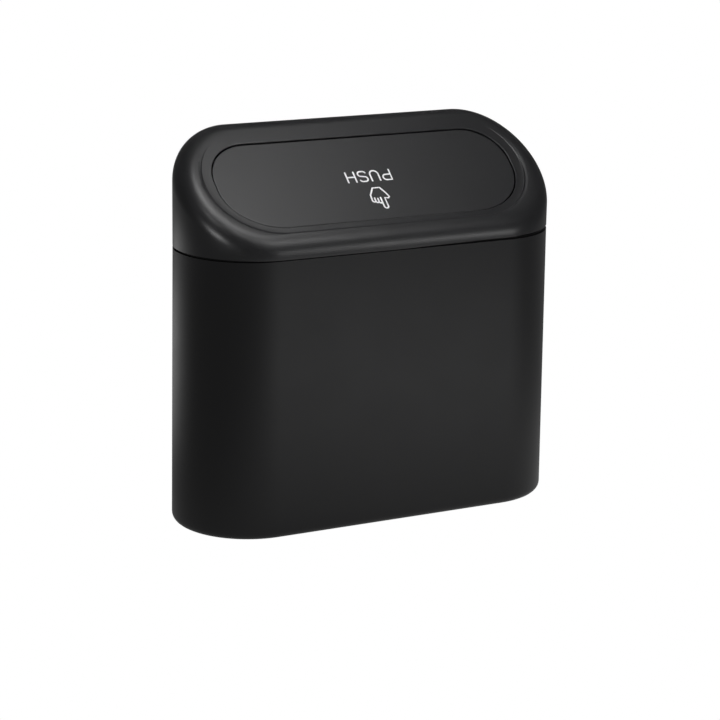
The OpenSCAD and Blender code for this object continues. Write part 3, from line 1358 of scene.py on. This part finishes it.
@dataclass
class HangingClip:
    """Sliding clip: plate between the rails, round bridge and springy tongue."""

    palette: Palette
    plate_w: float = 40.0 * MM
    tongue_w: float = 26.0 * MM
    thick: float = 2.4 * MM
    gap: float = 6.2 * MM
    plate_y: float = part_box("hook_clip")[0].y
    low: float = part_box("hook_clip")[0].z
    bridge_z: float = 100.0 * MM
    tongue_h: float = 38.0 * MM
    corner_r: float = 4.0 * MM
    corner_steps: int = 10
    edge: float = 0.35 * MM
    edge_steps: int = 3
    sharp_deg: float = 40.0
    bridge_steps: int = 20

    def build(self) -> bpy.types.Object:
        """Builds the clip from one plate whose top is spun over and drawn down.

        Returns:
            The finished piece.
        """
        mesh = bmesh.new()
        height = self.bridge_z - self.low
        size = Matrix.Diagonal((self.plate_w, self.thick, height, 1.0))
        middle = Matrix.Translation((0.0, self.plate_y + self.thick / 2, self.low + height / 2))
        bmesh.ops.create_cube(mesh, size=1.0, matrix=middle @ size)
        for side in Side:
            bmesh.ops.bisect_plane(
                mesh, geom=mesh.verts[:] + mesh.edges[:] + mesh.faces[:], dist=WELD,
                plane_co=(side.value * self.tongue_w / 2, 0, 0), plane_no=(1, 0, 0),
            )
        top = self._end_face(mesh)
        pivot = Vector((0.0, self.plate_y + self.thick + self.gap / 2, self.bridge_z))
        self._sweep(mesh, top, pivot)
        tongue = self._end_face(mesh, after=pivot.y)
        made = bmesh.ops.extrude_face_region(mesh, geom=[tongue])
        bmesh.ops.delete(mesh, geom=[tongue], context="FACES_ONLY")
        bmesh.ops.translate(mesh, verts=new_verts(made), vec=(0.0, 0.0, -self.tongue_h))
        self._round(mesh)
        dress = Dress("hanging_clip", "clip", "bin_plastic", self.palette.shell, ("hook_clip",))
        return dress.put_on(mesh)

    def _end_face(self, mesh: bmesh.types.BMesh, after: float = -1.0) -> bmesh.types.BMFace:
        """Finds the level face at the height of the bridge, in the middle of the strip.

        Args:
            mesh: Mesh of the clip.
            after: Y that the face lies beyond.

        Returns:
            The face.
        """
        mesh.faces.ensure_lookup_table()
        return next(
            f for f in mesh.faces
            if abs(f.calc_center_median().z - self.bridge_z) < NEAR
            and abs(f.calc_center_median().x) < 0.1 * MM
            and f.calc_center_median().y > after
            and len(f.verts) == 4
            and max(v.co.z for v in f.verts) - min(v.co.z for v in f.verts) < NEAR
        )

    def _sweep(self, mesh: bmesh.types.BMesh, face: bmesh.types.BMFace, pivot: Vector) -> None:
        """Draws the face over the bridge in small turns.

        Args:
            mesh: Mesh of the clip.
            face: Face that is drawn over.
            pivot: Middle of the bridge's round.
        """
        step = Matrix.Rotation(-math.pi / self.bridge_steps, 3, "X")
        for _ in range(self.bridge_steps):
            made = bmesh.ops.extrude_face_region(mesh, geom=[face])
            bmesh.ops.delete(mesh, geom=[face], context="FACES_ONLY")
            face = next(f for f in made["geom"] if isinstance(f, bmesh.types.BMFace))
            bmesh.ops.rotate(mesh, cent=pivot, matrix=step, verts=face.verts[:])

    def _round(self, mesh: bmesh.types.BMesh) -> None:
        """Rounds the lower corners of plate and tongue, then every sharp edge.

        Args:
            mesh: Mesh of the clip.
        """
        lows = (self.low, self.bridge_z - self.tongue_h)
        corners = [
            e for e in mesh.edges
            if abs(e.verts[0].co.x - e.verts[1].co.x) < NEAR
            and abs(e.verts[0].co.z - e.verts[1].co.z) < NEAR
            and min(abs(e.verts[0].co.z - z) for z in lows) < NEAR
            and min(abs(abs(e.verts[0].co.x) - w / 2) for w in (self.plate_w, self.tongue_w)) < NEAR
            and not (abs(e.verts[0].co.z - self.low) < NEAR
                     and abs(abs(e.verts[0].co.x) - self.tongue_w / 2) < NEAR)
        ]
        round_edges(mesh, corners, self.corner_r, self.corner_steps)
        sharp = [
            e for e in mesh.edges
            if len(e.link_faces) == 2 and e.calc_face_angle(0.0) > math.radians(self.sharp_deg)
        ]
        round_edges(mesh, sharp, self.edge, self.edge_steps)


# Studio

@dataclass(frozen=True)
class Softbox:
    """Rectangular lamp on a sphere round the bin, aimed at it."""

    name: str
    azimuth: float
    elevation: float
    watts: float
    width: float = 0.5
    height: float = 0.5
    distance: float = 1.1
    lid_only: bool = False

    def place(self, target: Vector) -> bpy.types.Object:
        """Adds the lamp to the scene.

        Args:
            target: Point that it faces.

        Returns:
            The lamp.
        """
        az, el = math.radians(self.azimuth), math.radians(self.elevation)
        way = Vector((math.sin(az) * math.cos(el), -math.cos(az) * math.cos(el), math.sin(el)))
        lamp = bpy.data.lights.new(self.name, "AREA")
        lamp.shape = "RECTANGLE"
        lamp.size, lamp.size_y = self.width, self.height
        lamp.energy = self.watts
        holder = add_object(self.name, lamp)
        turn = way.to_track_quat("Z", "Y").to_matrix().to_4x4()
        holder.matrix_world = Matrix.Translation(target + way * self.distance) @ turn
        holder.visible_camera = False
        return holder

    def light_only(self, group: bpy.types.Collection) -> None:
        """Keeps the lamp's light to the pieces of a group, as a flag would."""
        bpy.data.objects[self.name].light_linking.receiver_collection = group


@dataclass(frozen=True)
class GlowPool:
    """A round patch of the floor that throws more light on the bin.

    It has no edge: its light fades from the middle to its radius.
    """

    middle: tuple[float, float, float]
    radius: float
    glow: float

    def added(
        self, kit: NodeKit, place: bpy.types.NodeSocket, light: bpy.types.NodeSocket
    ) -> bpy.types.NodeSocket:
        """Adds the patch's light to the floor's.

        Args:
            kit: Maker of the floor's shader nodes.
            place: Socket with the point on the floor.
            light: Socket with the floor's light so far.

        Returns:
            The socket with both lights.
        """
        away = kit.node("ShaderNodeVectorMath")
        away.operation = "DISTANCE"
        away.inputs[1].default_value = self.middle
        fade = kit.node("ShaderNodeMapRange")
        fade.interpolation_type = "SMOOTHSTEP"
        fade.inputs["From Max"].default_value = self.radius
        fade.inputs["To Min"].default_value = self.glow
        fade.inputs["To Max"].default_value = 0.0
        both = kit.node("ShaderNodeMath")
        both.operation = "ADD"
        kit.link(place, away.inputs[0])
        kit.link(away.outputs["Value"], fade.inputs["Value"])
        kit.link(fade.outputs["Result"], both.inputs[0])
        kit.link(light, both.inputs[1])
        return both.outputs["Value"]


@dataclass
class Studio:
    """White floor and surround, soft lamps and the camera of the photograph."""

    lamps: tuple[Softbox, ...] = (
        Softbox("over_panel", 0.0, 76.0, 0.085, 0.07, 0.07, 0.42),
        Softbox("over_panel_right", 40.0, 76.0, 0.102, 0.07, 0.07, 0.42),
        Softbox("right_glint", 110.0, 68.0, 0.0121, 0.07, 0.07, 0.42),
        Softbox("over_right", 120.0, 76.0, 0.0086, 0.07, 0.07, 0.42),
        Softbox("over_left", -60.0, 76.0, 0.170, 0.07, 0.07, 0.42),
        Softbox("left_shoulder", -60.0, 52.0, 0.065, 0.07, 0.07, 0.42),
        Softbox("left_front", -20.0, 60.0, 0.0626, 0.07, 0.07, 0.42),
        Softbox("front_shoulder", 20.0, 52.0, 0.145, 0.07, 0.07, 0.42),
        Softbox("front_band", 30.0, 10.0, 1.00, 0.16, 0.16, lid_only=True),
        Softbox("left_streak", -64.0, 12.0, 2.10, 0.36, 0.10, lid_only=True),
    )
    pools: tuple[GlowPool, ...] = (
        GlowPool((0.078, -0.184, 0.0), 0.32, 0.400),
        GlowPool((0.156, -0.368, 0.0), 0.30, 0.720),
        GlowPool((-0.17, 0.300, 0.0), 0.26, 0.70),
    )
    surround: float = 0.115
    floor_glow: float = 0.175
    floor_half: float = 12.0
    floor_drop: float = 0.05 * MM
    sensor_mm: float = 36.0
    lens_mm: float = 121.17
    sight: tuple[float, float] = (0.01, 50.0)
    distance: float = 977.8 * MM
    heading: float = math.radians(27.87)
    dip: float = math.radians(15.05)
    roll: float = math.radians(0.934)
    target: Vector = field(default_factory=lambda: Vector((0.59 * MM, 0.0, 57.54 * MM)))
    shift: tuple[float, float] = (-0.00413, 0.00582)

    def build(self) -> None:
        """Sets up the camera, lamps, floor and surround.

        The picture keeps its plain colours, with no look laid over them.
        """
        self._camera()
        for lamp in self.lamps:
            lamp.place(self.target)
        self._floor()
        self._world()
        view = bpy.context.scene.view_settings
        view.view_transform = "Standard"
        view.look = "None"
        LOG.info("studio: %d lamps", len(self.lamps))

    def flag_lamps(self, lit: Sequence[bpy.types.Object]) -> None:
        """Keeps the low lamps off the tub and out of the seam.

        Args:
            lit: Pieces that the low lamps still light.
        """
        group = bpy.data.collections.new("lit_by_low_lamps")
        for piece in lit:
            group.objects.link(piece)
        for lamp in self.lamps:
            if lamp.lid_only:
                lamp.light_only(group)

    def _camera(self) -> None:
        """Adds the camera at the angle of the photograph.

        It looks along the heading and the dip at its target, and rolls a little about that line.
        """
        forward = Vector((
            math.sin(self.heading) * math.cos(self.dip),
            math.cos(self.heading) * math.cos(self.dip),
            -math.sin(self.dip),
        ))
        level = Vector((math.cos(self.heading), -math.sin(self.heading), 0.0))
        upright = level.cross(forward)
        right = level * math.cos(self.roll) + upright * math.sin(self.roll)
        up = upright * math.cos(self.roll) - level * math.sin(self.roll)
        place = Matrix((right, up, -forward)).transposed().to_4x4()
        place.translation = self.target - forward * self.distance
        data = bpy.data.cameras.new("camera")
        data.sensor_width = self.sensor_mm
        data.lens = self.lens_mm
        data.shift_x, data.shift_y = self.shift
        data.clip_start, data.clip_end = self.sight
        camera = add_object("camera", data)
        camera.matrix_world = place
        bpy.context.scene.camera = camera

    def _floor(self) -> None:
        """Lays the pale floor, bright to the camera and dimmer to the bin.

        The pools add their light to the floor's own.
        """
        mesh = bmesh.new()
        bmesh.ops.create_grid(mesh, x_segments=1, y_segments=1, size=self.floor_half)
        data = bpy.data.meshes.new("studio_floor")
        mesh.to_mesh(data)
        mesh.free()
        floor = add_object("studio_floor", data)
        floor.location.z = -self.floor_drop
        made = bpy.data.materials.new("floor_paper")
        made.use_nodes = True
        kit = NodeKit(made.node_tree)
        made.node_tree.nodes.clear()
        paper = kit.node("ShaderNodeEmission")
        place = kit.node("ShaderNodeTexCoord").outputs["Object"]
        total = kit.node("ShaderNodeValue").outputs["Value"]
        total.default_value = self.floor_glow
        for pool in self.pools:
            total = pool.added(kit, place, total)
        kit.link(total, paper.inputs["Strength"])
        self._mix_for_camera(kit, paper.outputs["Emission"], "ShaderNodeOutputMaterial")
        data.materials.append(made)

    def _world(self) -> None:
        """Makes the surround white behind the bin and dim in its gloss.

        Only the camera sees the white.
        """
        world = bpy.data.worlds.new("surround")
        world.use_nodes = True
        bpy.context.scene.world = world
        kit = NodeKit(world.node_tree)
        world.node_tree.nodes.clear()
        dim = kit.node("ShaderNodeBackground", Strength=self.surround)
        self._mix_for_camera(kit, dim.outputs["Background"], "ShaderNodeOutputWorld")

    def _mix_for_camera(self, kit: NodeKit, other: bpy.types.NodeSocket, output: str) -> None:
        """Shows plain white to the camera and the other shader to all other rays.

        Args:
            kit: Maker of the shader nodes.
            other: Socket of the other shader.
            output: Kind of the output node.
        """
        rays = kit.node("ShaderNodeLightPath")
        white = kit.node("ShaderNodeEmission", Strength=1.0)
        mix = kit.node("ShaderNodeMixShader")
        out = kit.node(output)
        kit.link(rays.outputs["Is Camera Ray"], mix.inputs[0])
        kit.link(other, mix.inputs[1])
        kit.link(white.outputs["Emission"], mix.inputs[2])
        kit.link(mix.outputs["Shader"], out.inputs["Surface"])


def main() -> None:
    """Builds the studio and every piece of the bin, in order.

    The low lamps are flagged last, when the pieces that they light are there.
    """
    logging.basicConfig(level=logging.INFO, format="%(name)s: %(message)s")
    studio = Studio()
    studio.build()
    palette = make_palette()
    sizes = BinSizes()
    hinge = HingeSizes(sizes)
    Tub(sizes, palette).build()
    lid = LidFrame(sizes, hinge, palette).build()
    flap = PushFlap(sizes, hinge, palette)
    panel = flap.build()
    ink = FlapPrint(flap, palette).build()
    works = HingeWorks(hinge, palette)
    works.build_spring()
    works.dress_pin()
    HangingClip(palette).build()
    studio.flag_lamps((lid, panel, ink))


if __name__ == "__main__":
    main()
